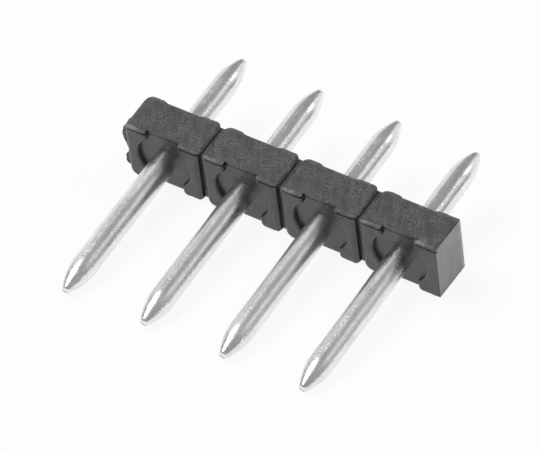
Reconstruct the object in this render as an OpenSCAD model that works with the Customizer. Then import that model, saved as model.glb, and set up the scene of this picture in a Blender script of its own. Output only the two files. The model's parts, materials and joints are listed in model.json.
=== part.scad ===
// Single-row break-apart pin strip: one moulded plastic strip of snap-off cells
// carrying one straight round pin per cell. Millimetres.
//
// Strip frame, in which every piece is drawn: X along the row, Y along the pins
// (long contact ends at -Y, short solder ends at +Y), Z across the strip's height.
// The strip is then tipped forward onto its long pin tips, the way it lies on a
// flat surface, and centred over the origin with its lowest points at Z = 0.

/* [Row] */
// Number of cells, and of pins
ways = 4; // [2:1:10]
// Spacing of the pins along the row
pitch = 3.5; // [3.4:0.05:5.1]

/* [Plastic strip] */
// Height of the strip, across its two plain faces
strip_h = 2.78; // [2.7:0.02:3.6]
// Depth of the strip along the pins, from foot to foot
strip_d = 1.8; // [1.6:0.05:3]
// How far the feet stand out on the long-pin face
front_foot = 0.2; // [0.1:0.02:0.4]
// How far the feet stand out on the solder face
back_foot = 0.1; // [0.1:0.02:0.4]
// Width of the open channel between the two feet of a cell
channel_w = 1.46; // [1.2:0.02:1.9]
// Diameter of the round clearance around each pin
well_d = 2.38; // [2:0.02:2.5]
// Rounding on the inner edges of the feet on the long-pin face
foot_round = 0.1; // [0.04:0.01:0.1]
// Rounding on the inner edges of the feet on the solder face, which slope gently
back_foot_round = 0.7; // [0.3:0.05:0.8]
// Rounding of the front feet's inner lower corners
toe_round = 0.33; // [0.1:0.01:0.4]
// Rounding along the strip's four long edges
edge_round = 0.04; // [0.03:0.01:0.2]

/* [Snap grooves] */
// Width of a groove's flat floor, which is the gap between two cells
groove_w = 0.06; // [0.06:0.02:0.3]
// Depth of the grooves on the long-pin face
front_groove = 0.2; // [0.12:0.01:0.3]
// Depth of the grooves on the other three faces
groove_depth = 0.14; // [0.1:0.01:0.2]
// Rounding of a cell's upright corners on the long-pin face
front_corner = 0.28; // [0.2:0.01:0.4]
// Rounding of a cell's upright corners on the solder face
back_corner = 0.43; // [0.2:0.01:0.5]
// Rounding of a cell's lower corners, seen along the pins
lower_corner = 0.5; // [0.2:0.01:0.5]
// Rounding of a cell's upper corners, seen along the pins
upper_corner = 0.24; // [0.2:0.01:0.4]
// How far the torn nubs on the snapped left-hand end stand out of it
nub_out = 0.23; // [0.1:0.01:0.3]

/* [Pins] */
// Pin diameter
pin_d = 1; // [0.8:0.05:1.2]
// Contact length, from the front feet to the tip
contact_len = 7.12; // [5:0.1:12]
// Solder length, from the back feet to the tip
solder_len = 4.05; // [3:0.05:6]
// Length of the bullet-shaped point at both ends
point_len = 1.45; // [0.8:0.05:1.8]
// Diameter of the small flat left on each point
point_flat_d = 0.3; // [0.1:0.05:0.5]

/* [Hidden] */
$fn = 96;

row_len = ways * pitch;
left_end = groove_w / 2 - nub_out;
pin_r = pin_d / 2;
axis_z = strip_h / 2;
well_r = well_d / 2;
front_tip = -contact_len;
back_tip = strip_d + solder_len;
web_reach = groove_w / 2 + front_corner; // from a groove's middle into the cell
over = 1; // how far a cutting shape runs past the surface it opens

// A point's outline is an arc tangent to the shank that ends on the flat.
flat_r = point_flat_d / 2;
point_in = pin_r - flat_r;
point_arc = (point_len * point_len + point_in * point_in) / (2 * point_in);

// Rest: the strip leans on the rounded front lower edge of its feet and on the
// bullet points of the long pins. Both are arcs, so the rest plane is the line
// that touches the two circles from below.
edge_c = [edge_round, edge_round];
point_c = [front_tip + point_len, axis_z - pin_r + point_arc];
lean_run = edge_c[0] - point_c[0];
lean_rise = point_c[1] - edge_c[1];
rest_tilt = atan2(lean_rise, lean_run)
    - asin((point_arc - edge_round) / norm([lean_run, lean_rise]));
rest_lift = edge_round - edge_c[0] * sin(rest_tilt) - edge_c[1] * cos(rest_tilt);

// Reach of the leaning strip along Y, which centres it over the origin.
reach_front = front_tip * cos(rest_tilt) - (axis_z + flat_r) * sin(rest_tilt);
reach_back = back_tip * cos(rest_tilt) - (axis_z - flat_r) * sin(rest_tilt);
rest_shift = [-(row_len + left_end) / 2, -(reach_front + reach_back) / 2, rest_lift];

function cell_x(i) = (i - 0.5) * pitch;

module at_rest() {
    translate(rest_shift) rotate([rest_tilt, 0, 0]) children();
}

// Runs an outline drawn in X and Z along Y, from y0 to y1.
module run_along_y(y0, y1) {
    translate([0, y1, 0]) rotate([90, 0, 0]) linear_extrude(y1 - y0) children();
}

// Runs an outline drawn in Y and Z along X, from x0 to x1.
module run_along_x(x0, x1) {
    translate([x0, 0, 0]) rotate([90, 0, 90]) linear_extrude(x1 - x0) children();
}

// What a corner at [0, 0] loses when it is rounded.
module corner_waste(r) {
    difference() {
        translate([-over, -over]) square(r + over);
        translate([r, r]) circle(r);
    }
}

// Flat bar from [0, 0] to size. Its corners are rounded by near_r on the side at
// 0 and by far_r on the opposite one; square_right leaves the right-hand two sharp.
module round_bar(size, near_r, far_r, square_right = false) {
    difference() {
        square(size);
        for (right = square_right ? [0] : [0, 1]) translate([right * size[0], 0]) mirror([right, 0]) {
            corner_waste(near_r);
            translate([0, size[1]]) mirror([0, 1]) corner_waste(far_r);
        }
    }
}

// One cell's block, from x0 to x1. A sawn cell has a plain right-hand end.
module cell_block(x0, x1, sawn) {
    intersection() {
        translate([x0, 0, 0]) linear_extrude(strip_h)
            round_bar([x1 - x0, strip_d], front_corner, back_corner, sawn);
        run_along_y(0, strip_d) translate([x0, 0])
            round_bar([x1 - x0, strip_h], lower_corner, upper_corner, sawn);
        run_along_x(x0, x1) round_bar([strip_d, strip_h], edge_round, edge_round);
    }
}

// Thin web from x0 to x1, whose surfaces are the floors of the snap grooves.
module web(x0, x1) {
    translate([x0, front_groove, groove_depth])
        cube([x1 - x0, strip_d - front_groove - groove_depth, strip_h - 2 * groove_depth]);
}

// A torn nub on the snapped left-hand end. It starts wide on the end, from
// foot_z[0] to foot_z[1], and narrows to its tip, from tip_z[0] to tip_z[1].
module nub(foot_z, tip_z) {
    root = groove_w / 2;
    run_along_y(front_groove, strip_d / 2) {
        polygon([[root, foot_z[0]], [left_end, tip_z[0]], [left_end, tip_z[1]], [root, foot_z[1]]]);
        translate([root, foot_z[0]]) square([web_reach, foot_z[1] - foot_z[0]]);
    }
}

// Cutter for a cell's open face: a channel and a round well, whose floors are at
// y = depth. Drawn opening towards -Y, with the channel's mouth rounded by mouth_r.
module relief(x, depth, mouth_r) {
    half_w = channel_w / 2;
    translate([x, 0, -over]) linear_extrude(strip_h + 2 * over) {
        translate([-half_w, -over]) square([channel_w, depth + over]);
        for (turn = [0, 1]) mirror([turn, 0]) mouth(half_w, mouth_r, depth);
    }
    translate([x, 0, axis_z]) rotate([-90, 0, 0]) rotate_extrude() {
        translate([0, -over]) square([well_r, depth + over]);
        mouth(well_r, foot_round, depth);
    }
}

// Rounding of an edge at [r, 0] whose wall runs from there down to a floor. A
// radius greater than the wall's depth makes the whole wall a gentle slope.
module mouth(r, mouth_r, depth) {
    reach = mouth_r > depth ? sqrt(depth * (2 * mouth_r - depth)) : mouth_r;
    difference() {
        translate([r, -over]) square([reach, min(depth, mouth_r) + over]);
        translate([r + reach, mouth_r]) circle(mouth_r);
    }
}

// Cutter that rounds the inner lower corners of a cell's two front feet.
module toes(x) {
    run_along_y(-over, front_foot) translate([x, 0])
        for (turn = [0, 1]) mirror([turn, 0]) mouth(channel_w / 2, toe_round, toe_round);
}

module strip_body() {
    difference() {
        union() {
            for (i = [1:ways]) {
                last = i == ways;
                cell_block((i - 1) * pitch + groove_w / 2, i * pitch - (last ? 0 : groove_w / 2), last);
            }
            for (i = [1:ways - 1]) web(i * pitch - web_reach, i * pitch + web_reach);
            nub(strip_h * [0.43, 0.88], strip_h * [0.68, 0.8]);
            nub(strip_h * [0.1, 0.31], strip_h * [0.12, 0.28]);
        }
        for (i = [1:ways]) {
            relief(cell_x(i), front_foot, foot_round);
            toes(cell_x(i));
            translate([0, strip_d, 0]) mirror([0, 1, 0])
                relief(cell_x(i), back_foot, back_foot_round);
            translate([cell_x(i), -over, axis_z]) rotate([-90, 0, 0])
                cylinder(r = pin_r, h = strip_d + 2 * over);
        }
    }
}

// Bullet point that starts at the shank's end, h = 0, and narrows to its flat.
module point_outline() {
    intersection() {
        translate([pin_r - point_arc, 0]) circle(point_arc, $fn = 240);
        square([pin_r, point_len]);
    }
}

// One pin, turned from round wire with a bullet point at each end.
module pin_body() {
    shank_start = front_tip + point_len;
    shank_end = back_tip - point_len;
    rotate([-90, 0, 0]) rotate_extrude() {
        translate([0, shank_start]) square([pin_r, shank_end - shank_start]);
        translate([0, shank_end]) point_outline();
        translate([0, shank_start]) mirror([0, 1]) point_outline();
    }
}

module strip() {
    color([0.13, 0.13, 0.14]) at_rest() strip_body();
}

module pin(i) {
    color([0.8, 0.8, 0.82]) at_rest() translate([cell_x(i), 0, axis_z]) pin_body();
}

strip();
for (i = [1:ways]) pin(i);
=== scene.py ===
import json
import math

import bmesh
import bpy
from mathutils import Matrix, Vector, noise


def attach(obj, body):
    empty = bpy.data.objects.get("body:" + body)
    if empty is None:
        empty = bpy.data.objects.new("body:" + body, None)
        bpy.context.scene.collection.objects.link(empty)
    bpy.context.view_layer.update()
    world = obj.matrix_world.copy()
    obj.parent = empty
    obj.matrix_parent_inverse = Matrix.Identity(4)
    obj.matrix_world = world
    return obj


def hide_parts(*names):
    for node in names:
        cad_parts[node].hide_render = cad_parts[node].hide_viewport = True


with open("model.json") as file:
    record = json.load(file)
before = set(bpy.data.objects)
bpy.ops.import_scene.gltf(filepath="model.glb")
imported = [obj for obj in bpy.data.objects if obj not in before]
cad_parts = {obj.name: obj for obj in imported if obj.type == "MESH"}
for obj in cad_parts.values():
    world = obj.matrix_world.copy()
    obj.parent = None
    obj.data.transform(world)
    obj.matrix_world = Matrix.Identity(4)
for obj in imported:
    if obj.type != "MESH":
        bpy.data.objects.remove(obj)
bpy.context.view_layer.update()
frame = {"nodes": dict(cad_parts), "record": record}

MM = 0.001

# ---------------------------------------------------------------- dimensions
record = frame["record"]
mounts = {mount["name"]: mount for mount in record["mounts"]}
contact = mounts["contact_pins"]
solder = mounts["solder_pins"]

PIN_COUNT = contact["dims"]["count"]
PITCH = contact["dims"]["spacing_x_mm"]
PIN_R = contact["dims"]["stud_r_mm"]
CONTACT_LEN = contact["dims"]["length_mm"]
SOLDER_LEN = solder["dims"]["length_mm"]
POINT_LEN = 1.45
POINT_FLAT_R = 0.15

# The strip frame set into the row frame, and the way back.
pins_back = -Vector(contact["axis"])
LEAN = math.atan2(pins_back.z, pins_back.y)
STRIP_TO_ROW = (Matrix.Translation(Vector(contact["pos_m"]))
                @ Matrix.Rotation(LEAN, 4, "X")
                @ Matrix.Scale(MM, 4))
ROW_TO_STRIP = STRIP_TO_ROW.inverted()


def strip_extent():
    """Lowest and highest corners of the moulded strip, in its own frame."""
    corners = [ROW_TO_STRIP @ v.co for v in frame["nodes"]["strip"].data.vertices]
    low = Vector(min(c[i] for c in corners) for i in range(3))
    high = Vector(max(c[i] for c in corners) for i in range(3))
    return low, high


STRIP_LOW, STRIP_HIGH = strip_extent()
STRIP_D = STRIP_HIGH.y - STRIP_LOW.y
HALF_H = (STRIP_HIGH.z - STRIP_LOW.z) / 2
SAWN_END = STRIP_HIGH.x
NUB_TIP = STRIP_LOW.x
ROW_START = -PIN_COUNT * PITCH / 2

FRONT_FOOT = 0.2
BACK_FOOT = 0.1
CHANNEL_W = 1.46
WELL_R = 1.19
FOOT_ROUND = 0.1
BACK_FOOT_ROUND = 0.7
TOE_ROUND = 0.33
HOLE_R = PIN_R - 0.02

# A cell reaches nearer to the groove on its right than to the one on its left,
# and its four upright and lengthwise corners are each rounded by their own amount.
LEFT_GAP = 0.041
RIGHT_GAP = 0.011
LEFT_ROUNDS = {"front": 0.221, "back": 0.54, "lower": 0.592, "upper": 0.257}
RIGHT_ROUNDS = {"front": 0.343, "back": 0.332, "lower": 0.431, "upper": 0.15}
GROOVE_DEPTH = {"front": 0.189, "back": 0.114, "lower": 0.127, "upper": 0.143}
WEB_REACH = 0.32

# Long edges: their rounding, and how unevenly it is worn.
EDGE_ROUND = 0.045
EDGE_WEAR = 0.9
SAW_ROUND = 0.035
SAW_LEAN = 0.05
WEAR_STEP = 0.09
RIM_STEPS = 4

# Undercut beneath the rolled lip of the top's front edge.
LIP_H = 0.1
UNDERCUT_H = 0.08
UNDERCUT_DEPTH = 0.14
CHANNEL_UNDERCUT_DEPTH = 0.014

# Slit along the middle of a groove's floor on the long-pin face.
SLIT_LEFT = 0.145
SLIT_RIGHT = -0.07
SLIT_DEPTH = 0.208

# How far a cutting shape runs past the surface it opens, and how far it keeps off a
# surface that it only meets.
OVER = 1.0
SLIP = 0.004
ROUND_STEPS = 12
SLIVER_FACES = 50


def cell_x(index):
    """Middle of cell 0, 1, 2 ... along the row."""
    return (index - (PIN_COUNT - 1) / 2) * PITCH


# ------------------------------------------------------------------- solids
def new_object(name, bm):
    mesh = bpy.data.meshes.new(name)
    bm.to_mesh(mesh)
    bm.free()
    obj = bpy.data.objects.new(name, mesh)
    bpy.context.scene.collection.objects.link(obj)
    return obj


def runs_along(edge, axis):
    run = (edge.verts[1].co - edge.verts[0].co).normalized()
    return abs(run[axis]) > 0.9


def box_mesh(low, high, rounds=(), steps=ROUND_STEPS):
    """Box from low to high. Each of rounds is an axis, a radius and a test of an
    edge's middle: the edges along that axis that pass the test are rounded."""
    bm = bmesh.new()
    bmesh.ops.create_cube(bm, size=1.0)
    low, high = Vector(low), Vector(high)
    bmesh.ops.scale(bm, vec=high - low, verts=bm.verts)
    bmesh.ops.translate(bm, vec=(low + high) / 2, verts=bm.verts)
    for axis, radius, test in rounds:
        chosen = [edge for edge in bm.edges if runs_along(edge, axis)
                  and test((edge.verts[1].co + edge.verts[0].co) / 2)]
        bmesh.ops.bevel(bm, geom=chosen, offset=radius, offset_type="OFFSET", affect="EDGES",
                        segments=steps, profile=0.5, material=-1)
    return bm


def block(name, low, high, rounds=()):
    return new_object(name, box_mesh(low, high, rounds))


def wear_edges(bm, low, high, axis, reach, test=lambda at: True):
    """Makes the rounding of a box's edges along an axis uneven, with its flats kept."""
    low, high = Vector(low), Vector(high)
    chosen = [edge for edge in bm.edges if runs_along(edge, axis)]
    cuts = int((high[axis] - low[axis]) / WEAR_STEP)
    bmesh.ops.subdivide_edges(bm, edges=chosen, cuts=cuts, use_grid_fill=True)
    for vert in bm.verts:
        edge_at = Vector(low[i] if vert.co[i] < (low[i] + high[i]) / 2 else high[i]
                         for i in range(3))
        edge_at[axis] = vert.co[axis]
        out = vert.co - edge_at
        if out.length < reach * 1.01 and test(vert.co):
            uneven = noise.noise(edge_at * 5) + 0.6 * noise.noise(edge_at * 13)
            vert.co += out * max(0, EDGE_WEAR * (uneven + 0.25))


def turned(name, outline, steps, axis_turn):
    """Solid of revolution: outline is a list of (radius, height) along the axis."""
    bm = bmesh.new()
    verts = [bm.verts.new((radius, 0, height)) for radius, height in outline]
    edges = [bm.edges.new(pair) for pair in zip(verts, verts[1:])]
    bmesh.ops.spin(bm, geom=verts + edges, cent=(0, 0, 0), axis=(0, 0, 1),
                   angle=math.tau, steps=steps, use_merge=True)
    bmesh.ops.remove_doubles(bm, verts=bm.verts, dist=1e-5)
    bmesh.ops.transform(bm, matrix=axis_turn, verts=bm.verts)
    bmesh.ops.recalc_face_normals(bm, faces=bm.faces)
    return new_object(name, bm)


def settle(obj):
    """Applies the modifiers of an object to its mesh."""
    graph = bpy.context.evaluated_depsgraph_get()
    mesh = bpy.data.meshes.new_from_object(obj.evaluated_get(graph))
    obj.modifiers.clear()
    old = obj.data
    obj.data = mesh
    bpy.data.meshes.remove(old)


def combine(base, other, operation):
    """Boolean of two solids, kept in base; other is used up."""
    cut = base.modifiers.new("cut", "BOOLEAN")
    cut.operation = operation
    cut.solver = "EXACT"
    cut.object = other
    settle(base)
    bpy.data.objects.remove(other)
    merge_doubles(base, 2e-5)
    return base


def merge_doubles(obj, distance):
    bm = bmesh.new()
    bm.from_mesh(obj.data)
    bmesh.ops.remove_doubles(bm, verts=bm.verts, dist=distance)
    bmesh.ops.dissolve_degenerate(bm, edges=bm.edges, dist=distance)
    bm.to_mesh(obj.data)
    bm.free()


def mouth_arc(wall, turn_r, depth, steps=ROUND_STEPS):
    """Rounding of an edge between the surface, at 0, and a wall that goes down to a
    floor at depth: its points from the surface to the wall, as (across, down)."""
    gentle = turn_r > depth
    reach = math.sqrt(depth * (2 * turn_r - depth)) if gentle else turn_r
    sweep = math.asin(reach / turn_r)
    return [(wall + reach - turn_r * math.sin(a), turn_r - turn_r * math.cos(a))
            for a in (sweep * i / steps for i in range(steps + 1))]


def prism_mesh(outline, place, start, end):
    """Solid with the given outline, run from start to end along Z and then placed."""
    bm = bmesh.new()
    face = bm.faces.new([bm.verts.new((x, y, start)) for x, y in outline])
    grown = bmesh.ops.extrude_face_region(bm, geom=[face])
    lifted = [g for g in grown["geom"] if isinstance(g, bmesh.types.BMVert)]
    bmesh.ops.translate(bm, vec=(0, 0, end - start), verts=lifted)
    bmesh.ops.transform(bm, matrix=place, verts=bm.verts)
    bmesh.ops.recalc_face_normals(bm, faces=bm.faces)
    return bm


def prism(name, outline, place, start, end):
    return new_object(name, prism_mesh(outline, place, start, end))


# --------------------------------------------------------------- the strip
ALONG_Y = Matrix.Rotation(math.radians(-90), 4, "X")
# Sets an outline drawn in X and Z into the strip, with its length along +Y.
FACING_BACK = Matrix(((1, 0, 0, 0), (0, 0, 1, 0), (0, 1, 0, 0), (0, 0, 0, 1)))
# Sets an outline drawn in Y and Z into the strip, with its length along +X.
FACING_RIGHT = Matrix(((0, 0, 1, 0), (1, 0, 0, 0), (0, 1, 0, 0), (0, 0, 0, 1)))


def two_sided(side):
    """Closed outline from its right-hand half, given from the top down."""
    return side + [(-across, down) for across, down in reversed(side)]


def face_place(front):
    """Sets a cutter, drawn for the front face, on either face of a cell."""
    if front:
        return Matrix.Identity(4)
    return Matrix.Translation((0, STRIP_D, 0)) @ Matrix.Scale(-1, 4, (0, 1, 0))


def channel(depth, mouth_r, front):
    """Cutter for the open channel between two feet."""
    arc = mouth_arc(CHANNEL_W / 2, mouth_r, depth)
    side = [(arc[0][0], -OVER)] + arc
    if mouth_r < depth:
        side.append((CHANNEL_W / 2, depth))
    reach = HALF_H + OVER
    return prism("channel", two_sided(side), face_place(front), -reach, reach)


def well(depth, front):
    """Cutter for the round clearance about a pin."""
    arc = mouth_arc(WELL_R, FOOT_ROUND, depth, ROUND_STEPS - 3)
    outline = [(0, -OVER), (arc[0][0], -OVER)] + arc
    if FOOT_ROUND < depth:
        outline.append((WELL_R, depth))
    outline.append((0, depth))
    return turned("well", outline, 96, face_place(front) @ ALONG_Y)


def toes():
    """Cutter that rounds the inner lower corners of a cell's two front feet."""
    arc = mouth_arc(CHANNEL_W / 2 - SLIP, TOE_ROUND, TOE_ROUND)
    side = [(arc[0][0], -OVER)] + arc
    place = Matrix.Translation((0, 0, -HALF_H)) @ Matrix.Rotation(math.radians(90), 4, "X")
    return prism("toes", two_sided(side), place, SLIP - FRONT_FOOT, OVER)


def undercut(x_from, x_to, surface, depth):
    """Cutter for the narrow, uneven undercut beneath the lip, in a face at y = surface."""
    top = HALF_H - LIP_H
    deep = surface + depth
    notch = [(-OVER, top), (deep, top), (deep, top - UNDERCUT_H), (-OVER, top - UNDERCUT_H)]
    bm = prism_mesh(notch, FACING_RIGHT, x_from, x_to)
    lengths = [edge for edge in bm.edges if runs_along(edge, 0)]
    bmesh.ops.subdivide_edges(bm, edges=lengths, cuts=int((x_to - x_from) / WEAR_STEP),
                              use_grid_fill=True)
    for vert in bm.verts:
        lower = vert.co.z < top - UNDERCUT_H / 2
        vert.co.z += 0.03 * noise.noise(Vector((vert.co.x * 4, surface * 9, 3 + 2 * lower)))
    return new_object("undercut", bm)


def plain_cell(sawn):
    """Cell centred on x = 0, before wear: rounded corners, feet, wells and pin hole. A
    sawn cell has a plain right-hand end."""
    left = LEFT_GAP - PITCH / 2
    right = SAWN_END - cell_x(PIN_COUNT - 1) if sawn else PITCH / 2 - RIGHT_GAP

    def corner_rounds(axis, across, names, middle):
        """Roundings of the four edges along an axis, by their side of the cell."""
        chosen = []
        for name, side in names:
            for rounds, hand in ((LEFT_ROUNDS, -1), (RIGHT_ROUNDS, 1)):
                if hand < 0 or not sawn:
                    chosen.append((axis, rounds[name], lambda at, s=side, h=hand:
                                   at.x * h > 0 and (at[across] - middle) * s > 0))
        return chosen

    body = block("cell", (left, 0, -HALF_H), (right, STRIP_D, HALF_H),
                 corner_rounds(2, 1, (("front", -1), ("back", 1)), STRIP_D / 2))
    combine(body, block("face", (left, -OVER, -HALF_H), (right, STRIP_D + OVER, HALF_H),
                        corner_rounds(1, 2, (("lower", -1), ("upper", 1)), 0)), "INTERSECT")
    for front, depth, mouth_r in ((True, FRONT_FOOT, FOOT_ROUND),
                                  (False, BACK_FOOT, BACK_FOOT_ROUND)):
        combine(body, channel(depth, mouth_r, front), "DIFFERENCE")
        combine(body, well(depth, front), "DIFFERENCE")
    combine(body, toes(), "DIFFERENCE")
    hole = [(0, -OVER), (HOLE_R, -OVER), (HOLE_R, STRIP_D + OVER), (0, STRIP_D + OVER)]
    return combine(body, turned("hole", hole, 64, ALONG_Y), "DIFFERENCE")


def cell(pattern, index):
    """A copy of a plain cell in its place along the row, with its own lip and wear."""
    x = cell_x(index)
    left, right = x - PITCH / 2, x + PITCH / 2
    body = bpy.data.objects.new("cell", pattern.data.copy())
    bpy.context.scene.collection.objects.link(body)
    body.data.transform(Matrix.Translation((x, 0, 0)))
    combine(body, undercut(left - OVER, right + OVER, 0, UNDERCUT_DEPTH), "DIFFERENCE")
    half_w = CHANNEL_W / 2 + 0.01
    combine(body, undercut(x - half_w, x + half_w, FRONT_FOOT, CHANNEL_UNDERCUT_DEPTH),
            "DIFFERENCE")
    low, high = (left - OVER, 0, -HALF_H), (right + OVER, STRIP_D, HALF_H)
    bm = box_mesh(low, high, ((0, EDGE_ROUND, lambda at: True),), RIM_STEPS)
    wear_edges(bm, low, high, 0, EDGE_ROUND)
    combine(body, new_object("edges", bm), "INTERSECT")
    if index == PIN_COUNT - 1:
        combine(body, saw_cut(left - OVER, 1), "INTERSECT")
        combine(body, saw_cut(left - OVER, 2), "INTERSECT")
    return body


def saw_cut(left, axis):
    """What a slightly oblique saw leaves: all up to the sawn end, with the rim worn
    along its two edges that run along an axis."""
    low = Vector((left, 0, -HALF_H))
    high = Vector((SAWN_END, STRIP_D, HALF_H))
    low[axis] -= OVER
    high[axis] += OVER
    bm = box_mesh(low, high, ((axis, SAW_ROUND, lambda at: at.x > left),), RIM_STEPS)
    wear_edges(bm, low, high, axis, SAW_ROUND)
    for vert in bm.verts:
        if vert.co.x > SAWN_END - OVER:
            vert.co.x -= SAW_LEAN * (1 - vert.co.y / STRIP_D)
    return new_object("saw", bm)


def web(x_from, x_to):
    """Thin web, whose surfaces are the floors of the snap grooves."""
    depth = GROOVE_DEPTH
    return block("web", (x_from, depth["front"], -HALF_H + depth["lower"]),
                 (x_to, STRIP_D - depth["back"], HALF_H - depth["upper"]))


def nub(outline, y_from, y_to):
    """A torn nub on the snapped end, whose outline runs from its root to its tip."""
    bm = prism_mesh([(ROW_START + x, z - HALF_H) for x, z in outline], FACING_BACK,
                    y_from, y_to)
    bmesh.ops.subdivide_edges(bm, edges=bm.edges, cuts=3, use_grid_fill=True)
    bmesh.ops.triangulate(bm, faces=bm.faces)
    for vert in bm.verts:
        if vert.co.x < ROW_START + LEFT_GAP:
            torn = noise.noise_vector(vert.co * 6) * 0.035
            vert.co += torn
            vert.co.x = max(vert.co.x, NUB_TIP + 0.002)
    return new_object("nub", bm)


NUB_ROOT = LEFT_GAP + 0.3
UPPER_NUB = ((NUB_ROOT, 1.1), (LEFT_GAP, 1.12), (-0.07, 1.53), (-0.19, 1.93), (-0.18, 2.06),
             (-0.13, 2.2), (-0.09, 2.42), (LEFT_GAP, 2.5), (NUB_ROOT, 2.5))
LOWER_NUB = ((NUB_ROOT, 0.3), (LEFT_GAP, 0.27), (-0.14, 0.34), (-0.17, 0.5), (-0.16, 0.74),
             (-0.11, 0.84), (LEFT_GAP, 0.86), (NUB_ROOT, 0.86))


def build_strip():
    inner, sawn = plain_cell(False), plain_cell(True)
    strip = cell(inner, 0)
    for i in range(1, PIN_COUNT):
        border = cell_x(i) - PITCH / 2
        combine(strip, web(border - WEB_REACH, border + WEB_REACH), "UNION")
        combine(strip, cell(sawn if i == PIN_COUNT - 1 else inner, i), "UNION")
        combine(strip, block("slit", (border - SLIT_LEFT, -OVER, 0.25 - HALF_H),
                             (border + SLIT_RIGHT, SLIT_DEPTH, HALF_H - 0.1)), "DIFFERENCE")
    bpy.data.objects.remove(inner)
    bpy.data.objects.remove(sawn)
    front = GROOVE_DEPTH["front"]
    combine(strip, nub(UPPER_NUB, front, front + 0.45), "UNION")
    combine(strip, nub(LOWER_NUB, front, front + 0.6), "UNION")
    strip.name = "strip_moulding"
    finish_edges(strip)
    dress_faces(strip.data)
    strip.data.transform(STRIP_TO_ROW)
    return strip


def drop_slivers(obj):
    """Removes the doubled and loose slivers that cutting leaves, and closes small gaps."""
    bm = bmesh.new()
    bm.from_mesh(obj.data)
    by_corners = {}
    for face in bm.faces:
        by_corners.setdefault(frozenset(face.verts), []).append(face)
    doubled = [face for same in by_corners.values() if len(same) > 1 for face in same]
    bmesh.ops.delete(bm, geom=doubled, context="FACES")
    left = set(bm.faces)
    while left:
        island, edge_of = set(), [left.pop()]
        while edge_of:
            face = edge_of.pop()
            island.add(face)
            near = {other for edge in face.edges for other in edge.link_faces} & left
            left -= near
            edge_of.extend(near)
        if len(island) < SLIVER_FACES:
            bmesh.ops.delete(bm, geom=list(island), context="FACES")
    bmesh.ops.holes_fill(bm, edges=[edge for edge in bm.edges if edge.is_boundary], sides=8)
    bmesh.ops.recalc_face_normals(bm, faces=bm.faces)
    bm.to_mesh(obj.data)
    bm.free()


def finish_edges(obj):
    """Merges doubles, and shades flats flat and roundings smooth."""
    merge_doubles(obj, 1e-4)
    drop_slivers(obj)
    obj.data.shade_smooth()
    obj.data.set_sharp_from_angle(angle=math.radians(32))
    weights = obj.modifiers.new("weights", "WEIGHTED_NORMAL")
    weights.keep_sharp = True
    weights.weight = 100
    settle(obj)


def dress_faces(mesh):
    """Gives the strip its finishes: smooth faces, textured top, sawn and torn ends."""
    mesh.materials.clear()
    for finish in (moulded_face(), grained_top(), sawn_end(), torn_end()):
        mesh.materials.append(finish)
    for face in mesh.polygons:
        at, facing = face.center, face.normal
        face.material_index = 0
        if facing.z > 0.3 and at.z > HALF_H - 0.4 and not FRONT_FOOT - 0.01 < at.y < FRONT_FOOT:
            face.material_index = 1
        if facing.x > 0.9 and at.x > SAWN_END - 0.1:
            face.material_index = 2
        if at.x < ROW_START + LEFT_GAP - 0.005:
            face.material_index = 3


# ---------------------------------------------------------------- the pins
def point_outline(start, forward, steps=20):
    """Bullet point from the shank at y = start to its flat, as (radius, y) pairs."""
    inward = PIN_R - POINT_FLAT_R
    arc_r = (POINT_LEN ** 2 + inward ** 2) / (2 * inward)
    points = []
    for i in range(steps + 1):
        run = POINT_LEN * i / steps
        points.append((PIN_R - arc_r + math.sqrt(arc_r ** 2 - run ** 2), start + forward * run))
    return points


def build_pin(index):
    front = point_outline(-CONTACT_LEN + POINT_LEN, -1)
    back = point_outline(STRIP_D + SOLDER_LEN - POINT_LEN, 1)
    outline = [(0, front[-1][1])] + front[::-1] + back + [(0, back[-1][1])]
    place = STRIP_TO_ROW @ Matrix.Translation((cell_x(index), 0, 0)) @ ALONG_Y
    pin = turned(f"pin_wire_{index + 1}", outline, 72, place)
    pin.data.shade_smooth()
    return pin


# ------------------------------------------------------------ shader nodes
def add(tree, kind, inputs=(), **settings):
    """Adds a node. Inputs are (socket, value) pairs; a value may be another socket."""
    node = tree.nodes.new(kind)
    for name, value in settings.items():
        setattr(node, name, value)
    for socket, value in inputs:
        if isinstance(value, bpy.types.NodeSocket):
            tree.links.new(value, node.inputs[socket])
        else:
            node.inputs[socket].default_value = value
    return node


def calc(tree, operation, *values):
    return add(tree, "ShaderNodeMath", tuple(enumerate(values)), operation=operation).outputs[0]


def fade(tree, value, start, end, low=0.0, high=1.0):
    """Smooth step of a value: low at start, high at end."""
    return add(tree, "ShaderNodeMapRange",
               (("Value", value), ("From Min", start), ("From Max", end),
                ("To Min", low), ("To Max", high)),
               interpolation_type="SMOOTHSTEP").outputs["Result"]


def blend(tree, factor, below, above):
    """Mix of two colours."""
    node = add(tree, "ShaderNodeMix", ((0, factor), (6, below), (7, above)), data_type="RGBA")
    return node.outputs[2]


def noise_at(tree, vector, scale, detail=2.0):
    return add(tree, "ShaderNodeTexNoise",
               (("Vector", vector), ("Scale", scale), ("Detail", detail))).outputs["Fac"]


def bump(tree, height, distance, strength=1.0, below=None):
    inputs = [("Height", height), ("Distance", distance * MM), ("Strength", strength)]
    if below is not None:
        inputs.append(("Normal", below))
    return add(tree, "ShaderNodeBump", inputs).outputs["Normal"]


def new_group(name, inputs, outputs):
    """Empty node group. Inputs are (name, kind, default), outputs are (name, kind)."""
    group = bpy.data.node_groups.new(name, "ShaderNodeTree")
    for label, kind, default in inputs:
        socket = group.interface.new_socket(label, in_out="INPUT", socket_type=kind)
        if default is not None:
            socket.default_value = default
    for label, kind in outputs:
        group.interface.new_socket(label, in_out="OUTPUT", socket_type=kind)
    return group, group.nodes.new("NodeGroupInput"), group.nodes.new("NodeGroupOutput")


NUMBER, VECTOR = "NodeSocketFloat", "NodeSocketVector"


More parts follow.
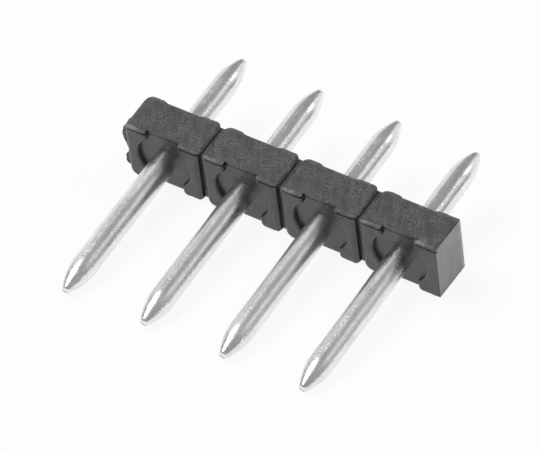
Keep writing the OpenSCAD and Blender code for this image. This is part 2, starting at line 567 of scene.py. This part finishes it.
def grain_group():
    """Mottled grain of a surface: a height and a mask of pale specks in clumps."""
    group, start, end = new_group(
        "grain", (("Vector", VECTOR, None), ("Scale", NUMBER, 8.0), ("Specks", NUMBER, 0.6)),
        (("Height", NUMBER), ("Specks", NUMBER)))
    fine = add(group, "ShaderNodeTexNoise", (("Vector", start.outputs["Vector"]),
                                             ("Scale", start.outputs["Scale"]), ("Detail", 3.0)))
    clump_scale = calc(group, "MULTIPLY", start.outputs["Scale"], 0.17)
    clumps = add(group, "ShaderNodeTexNoise", (("Vector", start.outputs["Vector"]),
                                               ("Scale", clump_scale), ("Detail", 2.0)))
    share = calc(group, "SUBTRACT", 1.0, start.outputs["Specks"])
    high = fade(group, calc(group, "SUBTRACT", fine.outputs["Fac"], share), 0.0, 0.16)
    gathered = fade(group, clumps.outputs["Fac"], 0.38, 0.62, 0.2)
    group.links.new(fine.outputs["Fac"], end.inputs["Height"])
    group.links.new(calc(group, "MULTIPLY", high, gathered), end.inputs["Specks"])
    return group


def scratch_group():
    """Fine parallel scratches: lines along Y once the pattern is turned by Turn."""
    group, start, end = new_group(
        "scratches", (("Vector", VECTOR, None), ("Turn", NUMBER, 0.0), ("Scale", NUMBER, 10.0),
                      ("Stretch", NUMBER, 12.0)), (("Lines", NUMBER),))
    aligned = add(group, "ShaderNodeVectorRotate",
                  (("Vector", start.outputs["Vector"]), ("Angle", start.outputs["Turn"])),
                  rotation_type="Z_AXIS")
    squeeze = add(group, "ShaderNodeCombineXYZ",
                  (("X", 1.0), ("Y", calc(group, "DIVIDE", 1.0, start.outputs["Stretch"])),
                   ("Z", 1.0)))
    drawn_out = add(group, "ShaderNodeVectorMath", ((0, aligned.outputs[0]), (1, squeeze.outputs[0])),
                    operation="MULTIPLY")
    lines = add(group, "ShaderNodeTexNoise", (("Vector", drawn_out.outputs[0]),
                                              ("Scale", start.outputs["Scale"]), ("Detail", 2.0)))
    group.links.new(lines.outputs["Fac"], end.inputs["Lines"])
    return group


def use(tree, group, *inputs):
    return add(tree, "ShaderNodeGroup", inputs, node_tree=group).outputs


GRAIN = grain_group()
SCRATCHES = scratch_group()


# --------------------------------------------------------------- materials
def material(name, roughness, metallic=0.0, ior=1.5):
    """Material whose patterns are drawn in the strip's own millimetres."""
    mat = bpy.data.materials.new(name)
    mat.use_nodes = True
    tree = mat.node_tree
    shader = tree.nodes["Principled BSDF"]
    shader.inputs["Roughness"].default_value = roughness
    shader.inputs["Metallic"].default_value = metallic
    shader.inputs["IOR"].default_value = ior
    place = add(tree, "ShaderNodeTexCoord").outputs["Object"]
    in_strip = add(tree, "ShaderNodeMapping",
                   (("Vector", place), ("Scale", (1 / MM, 1 / MM, 1 / MM)),
                    ("Rotation", (-LEAN, 0, 0)), ("Location", ROW_TO_STRIP.translation)))
    return mat, tree, shader, in_strip.outputs[0]


def split(tree, vector):
    return add(tree, "ShaderNodeSeparateXYZ", ((0, vector),)).outputs


def grey(level, warmth=0.0):
    return (level * (1 + warmth), level, level * (1 - warmth), 1)


BLACK = grey(0.03, -0.02)
BLACK_WORN = grey(0.052, -0.02)
# Pale grey for real scuffs and grain specks, also used as painted highlight and painted light on the
# strip's edges.
SCUFF_AND_HIGHLIGHT = grey(0.26)


def scuff_and_highlight_stretch(tree, x):
    """Share of scuffing and painted highlight along the row: most on the left-hand foot of each cell.
    """
    along = add(tree, "ShaderNodeCombineXYZ", (("X", x),)).outputs[0]
    uneven = fade(tree, noise_at(tree, along, 2.6, 3.0), 0.34, 0.6, 0.35)
    in_cell = calc(tree, "MODULO", calc(tree, "ADD", x, 20 * PITCH - ROW_START), PITCH)
    left_foot = fade(tree, in_cell, 0.85, 0.45)
    return calc(tree, "MULTIPLY", uneven, calc(tree, "MAXIMUM", left_foot, 0.2))


def near_point(tree, vector, point, full, nothing):
    """One near a point, falling to nothing away from it."""
    distance = add(tree, "ShaderNodeVectorMath", ((0, vector), (1, point)),
                   operation="DISTANCE").outputs["Value"]
    return fade(tree, distance, nothing, full)


# A nicked spot of the last cell's lip, and small dark scratches in two recesses.
NICKED_LIP = (cell_x(PIN_COUNT - 1) + 1.02, 0.05, HALF_H - 0.05)
SCRATCHED = ((cell_x(1) - 0.34, 0.59), (cell_x(3) - 0.3, 0.62))


def moulded_face():
    """Smooth, slightly glossy moulding with a faint unevenness; scuffed at its lip, with a painted
    highlight there, and painted light along its bottom edge.
    """
    mat, tree, shader, at = material("moulded_face", 0.3, ior=1.6)
    x, y, z = split(tree, at)
    grain = use(tree, GRAIN, ("Vector", at), ("Scale", 9.0), ("Specks", 0.42))
    drift = noise_at(tree, at, 1.3)
    # Pale band under the top's front edge: scuffing plus a painted highlight of the rounded edge.
    lip = calc(tree, "MULTIPLY", fade(tree, z, HALF_H - LIP_H, HALF_H - LIP_H + 0.02),
               fade(tree, y, 0.15, 0.05))
    lip = calc(tree, "MULTIPLY", lip, scuff_and_highlight_stretch(tree, x))
    base = blend(tree, fade(tree, drift, 0.35, 0.65), BLACK, BLACK_WORN)
    base = blend(tree, calc(tree, "MULTIPLY", grain["Specks"], 0.12), base, SCUFF_AND_HIGHLIGHT)
    base = blend(tree, calc(tree, "MULTIPLY", lip, 0.9), base, SCUFF_AND_HIGHLIGHT)
    # Painted light along the bottom edge, where it faces the bright table, with a ragged border.
    ragged = calc(tree, "MULTIPLY", noise_at(tree, at, 7.0), 0.2)
    painted_light_hem = fade(tree, calc(tree, "SUBTRACT", z, ragged), 0.06 - HALF_H, -0.04 - HALF_H, 0, 0.2)
    base = blend(tree, painted_light_hem, base, SCUFF_AND_HIGHLIGHT)
    dull = calc(tree, "MULTIPLY", lip, 0.3)
    for middle, height in SCRATCHED:
        squeezed = add(tree, "ShaderNodeCombineXYZ",
                       (("X", x), ("Y", calc(tree, "MULTIPLY", z, 6.0)))).outputs[0]
        mark = near_point(tree, squeezed, (middle, height * 6, 0), 0.08, 0.16)
        base = blend(tree, calc(tree, "MULTIPLY", mark, 0.8), base, grey(0.004))
        dull = calc(tree, "ADD", dull, calc(tree, "MULTIPLY", mark, 0.6))
    tree.links.new(base, shader.inputs["Base Color"])
    rough = calc(tree, "ADD", fade(tree, drift, 0.3, 0.7, 0.26, 0.36), dull)
    tree.links.new(rough, shader.inputs["Roughness"])
    waves = bump(tree, noise_at(tree, at, 1.6), 0.03)
    tree.links.new(bump(tree, grain["Height"], 0.002, below=waves), shader.inputs["Normal"])
    return mat


def grained_top():
    """Textured top: mottled grain, slanting scratches, pale scuffs along the edges, and a painted
    highlight in the scuff at the front edge.
    """
    mat, tree, shader, at = material("grained_top", 0.5, ior=1.6)
    x, y, z = split(tree, at)
    grain = use(tree, GRAIN, ("Vector", at), ("Scale", 11.5), ("Specks", 0.54))
    lines = use(tree, SCRATCHES, ("Vector", at), ("Turn", math.radians(-27)), ("Scale", 6.0),
                ("Stretch", 5.0))["Lines"]
    ragged = calc(tree, "MULTIPLY", noise_at(tree, at, 6.0), 0.3)
    # Pale band at the top's front edge: scuffing plus a painted highlight of the rounded edge.
    front_lip = fade(tree, calc(tree, "ADD", y, ragged), 0.31, 0.21)
    front_lip = calc(tree, "MULTIPLY", front_lip, scuff_and_highlight_stretch(tree, x))
    rim = fade(tree, calc(tree, "SUBTRACT", y, ragged), 1.45, 1.58)
    base = blend(tree, fade(tree, lines, 0.42, 0.62), BLACK, BLACK_WORN)
    base = blend(tree, calc(tree, "MULTIPLY", grain["Specks"], 0.4), base, SCUFF_AND_HIGHLIGHT)
    base = blend(tree, calc(tree, "MULTIPLY", rim, 0.22), base, SCUFF_AND_HIGHLIGHT)
    base = blend(tree, calc(tree, "MULTIPLY", front_lip, 0.9), base, SCUFF_AND_HIGHLIGHT)
    nick = calc(tree, "MULTIPLY", near_point(tree, at, NICKED_LIP, 0.12, 0.36),
                fade(tree, noise_at(tree, at, 7.0), 0.35, 0.6))
    base = blend(tree, calc(tree, "MULTIPLY", nick, 0.9), base, SCUFF_AND_HIGHLIGHT)
    tree.links.new(base, shader.inputs["Base Color"])
    rough = calc(tree, "ADD", 0.45, calc(tree, "MULTIPLY", grain["Specks"], 0.25))
    tree.links.new(rough, shader.inputs["Roughness"])
    streaks = bump(tree, lines, 0.006)
    tree.links.new(bump(tree, grain["Height"], 0.014, below=streaks), shader.inputs["Normal"])
    return mat


def sawn_end():
    """Cut plastic: paler and dull, with the saw's upright lines and a burr at the back."""
    mat, tree, shader, at = material("sawn_end", 0.6)
    x, y, z = split(tree, at)
    stood = add(tree, "ShaderNodeCombineXYZ", (("X", y), ("Y", z), ("Z", x))).outputs[0]
    lines = use(tree, SCRATCHES, ("Vector", stood), ("Turn", math.radians(4)), ("Scale", 9.0),
                ("Stretch", 16.0))["Lines"]
    drift = noise_at(tree, at, 1.1)
    burr = fade(tree, y, STRIP_D - 0.19, STRIP_D - 0.15)
    base = blend(tree, fade(tree, lines, 0.35, 0.65), grey(0.3), grey(0.36))
    base = blend(tree, fade(tree, drift, 0.4, 0.7, 0, 0.4), base, grey(0.46))
    base = blend(tree, calc(tree, "MULTIPLY", burr, 0.5), base, grey(0.6))
    tree.links.new(base, shader.inputs["Base Color"])
    tree.links.new(bump(tree, lines, 0.009), shader.inputs["Normal"])
    return mat


def torn_end():
    """Torn plastic of the snapped end: dull, rough, whitened where it was strained."""
    mat, tree, shader, at = material("torn_end", 0.65)
    grain = use(tree, GRAIN, ("Vector", at), ("Scale", 10.0), ("Specks", 0.55))
    base = blend(tree, grain["Specks"], grey(0.05), grey(0.3))
    tree.links.new(base, shader.inputs["Base Color"])
    tree.links.new(bump(tree, grain["Height"], 0.03), shader.inputs["Normal"])
    return mat


def tinned_wire():
    """Dull tin over drawn wire: fine lines along the pin, specks and soft blotches."""
    mat, tree, shader, at = material("tinned_wire", 0.3, metallic=1.0)
    lines = use(tree, SCRATCHES, ("Vector", at), ("Scale", 11.0), ("Stretch", 14.0))["Lines"]
    grain = use(tree, GRAIN, ("Vector", at), ("Scale", 9.0), ("Specks", 0.5))
    drift = noise_at(tree, at, 0.9)
    base = blend(tree, fade(tree, lines, 0.38, 0.62), grey(0.8), grey(0.9))
    base = blend(tree, calc(tree, "MULTIPLY", grain["Specks"], 0.25), base, grey(0.62, 0.01))
    tree.links.new(base, shader.inputs["Base Color"])
    x, y, z = split(tree, at)
    rough = calc(tree, "ADD", fade(tree, drift, 0.35, 0.65, -0.03, 0.03),
                 fade(tree, y, 0.0, STRIP_D, 0.3, 0.2))
    rough = calc(tree, "ADD", rough, calc(tree, "MULTIPLY", grain["Specks"], 0.1))
    tree.links.new(rough, shader.inputs["Roughness"])
    drawn = bump(tree, lines, 0.005)
    tree.links.new(bump(tree, grain["Height"], 0.008, below=drawn), shader.inputs["Normal"])
    return mat


# ------------------------------------------------------------ put together
strip = build_strip()
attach(strip, "root")
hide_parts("strip")

metal = tinned_wire()
for i in range(PIN_COUNT):
    pin = build_pin(i)
    pin.data.materials.append(metal)
    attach(pin, "root")
    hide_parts(f"pin_{i + 1}")

# -------------------------------------------------------------- the camera
IMAGE_W = 540
SENSOR_W = 36.0
FOCAL_PX = 7644
VIEW_AZIMUTH = math.radians(31.9825)
VIEW_ELEVATION = math.radians(42.2073)
VIEW_ROLL = math.radians(0.6254)
VIEW_DISTANCE = 290.2 * MM
VIEW_TARGET = Vector((0.229, -0.355, 1.4716)) * MM


def add_camera():
    forward = Vector((-math.sin(VIEW_AZIMUTH) * math.cos(VIEW_ELEVATION),
                      math.cos(VIEW_AZIMUTH) * math.cos(VIEW_ELEVATION),
                      -math.sin(VIEW_ELEVATION)))
    level = forward.cross(Vector((0, 0, 1))).normalized()
    up = level.cross(forward)
    right = level * math.cos(VIEW_ROLL) - up * math.sin(VIEW_ROLL)
    up = right.cross(forward)
    turn = Matrix((right, up, -forward)).transposed().to_4x4()
    data = bpy.data.cameras.new("camera")
    data.sensor_width = SENSOR_W
    data.lens = FOCAL_PX / IMAGE_W * SENSOR_W
    data.clip_start = 10 * MM
    data.clip_end = 10
    camera = bpy.data.objects.new("camera", data)
    bpy.context.scene.collection.objects.link(camera)
    camera.matrix_world = Matrix.Translation(VIEW_TARGET - forward * VIEW_DISTANCE) @ turn
    bpy.context.scene.camera = camera


# -------------------------------------------------------- floor and lights
ROOM_LEVEL = 0.34
# Round soft panels: azimuth from +Y towards +X, elevation, the angles from a panel's
# middle within which it is full and beyond which it is nothing, and its strength.
SOFT_PANELS = (
    (-104, 62, 11, 20, 7.4),
    (40, 38, 4, 12, 1.1),
    (56, 38, 10, 24, 0.25),
    (-64, 28, 4, 12, 0.3),
    (-56, 8, 8, 26, 0.5),
    (27, 15, 14, 28, 0.5),
)


def add_floor():
    """White table that takes a soft shadow and looks white in metal and to the camera."""
    bm = bmesh.new()
    bmesh.ops.create_grid(bm, x_segments=1, y_segments=1, size=0.6)
    floor = new_object("table", bm)
    mat = bpy.data.materials.new("white_table")
    mat.use_nodes = True
    tree = mat.node_tree
    tree.nodes.clear()
    path = add(tree, "ShaderNodeLightPath").outputs
    seen = calc(tree, "MAXIMUM", path["Is Camera Ray"], path["Is Glossy Ray"])
    card = add(tree, "ShaderNodeBsdfDiffuse", (("Color", grey(0.9)),)).outputs[0]
    glow = add(tree, "ShaderNodeEmission").outputs[0]
    surface = add(tree, "ShaderNodeMixShader",
                  ((0, calc(tree, "MULTIPLY", seen, 0.9)), (1, card), (2, glow)))
    add(tree, "ShaderNodeOutputMaterial", (("Surface", surface.outputs[0]),))
    floor.data.materials.append(mat)


def add_world():
    """White studio: a dim room with soft panels that only light and reflections see."""
    world = bpy.data.worlds.new("studio")
    world.use_nodes = True
    tree = world.node_tree
    tree.nodes.clear()
    direction = add(tree, "ShaderNodeTexCoord").outputs["Generated"]
    level = ROOM_LEVEL
    for azimuth, elevation, full, nothing, strength in SOFT_PANELS:
        a, e = math.radians(azimuth), math.radians(elevation)
        middle = (math.sin(a) * math.cos(e), math.cos(a) * math.cos(e), math.sin(e))
        nearness = add(tree, "ShaderNodeVectorMath", ((0, direction), (1, middle)),
                       operation="DOT_PRODUCT").outputs["Value"]
        panel = fade(tree, nearness, math.cos(math.radians(nothing)),
                     math.cos(math.radians(full)), 0.0, strength)
        level = calc(tree, "ADD", panel, level)
    path = add(tree, "ShaderNodeLightPath").outputs
    room = add(tree, "ShaderNodeBackground", (("Color", grey(1)), ("Strength", level)))
    white = add(tree, "ShaderNodeBackground", (("Color", grey(1)), ("Strength", 1.0)))
    seen = add(tree, "ShaderNodeMixShader", ((0, path["Is Camera Ray"]), (1, room.outputs[0]),
                                             (2, white.outputs[0])))
    add(tree, "ShaderNodeOutputWorld", (("Surface", seen.outputs[0]),))
    bpy.context.scene.world = world


add_camera()
add_floor()
add_world()

bpy.context.scene.view_settings.view_transform = "Standard"
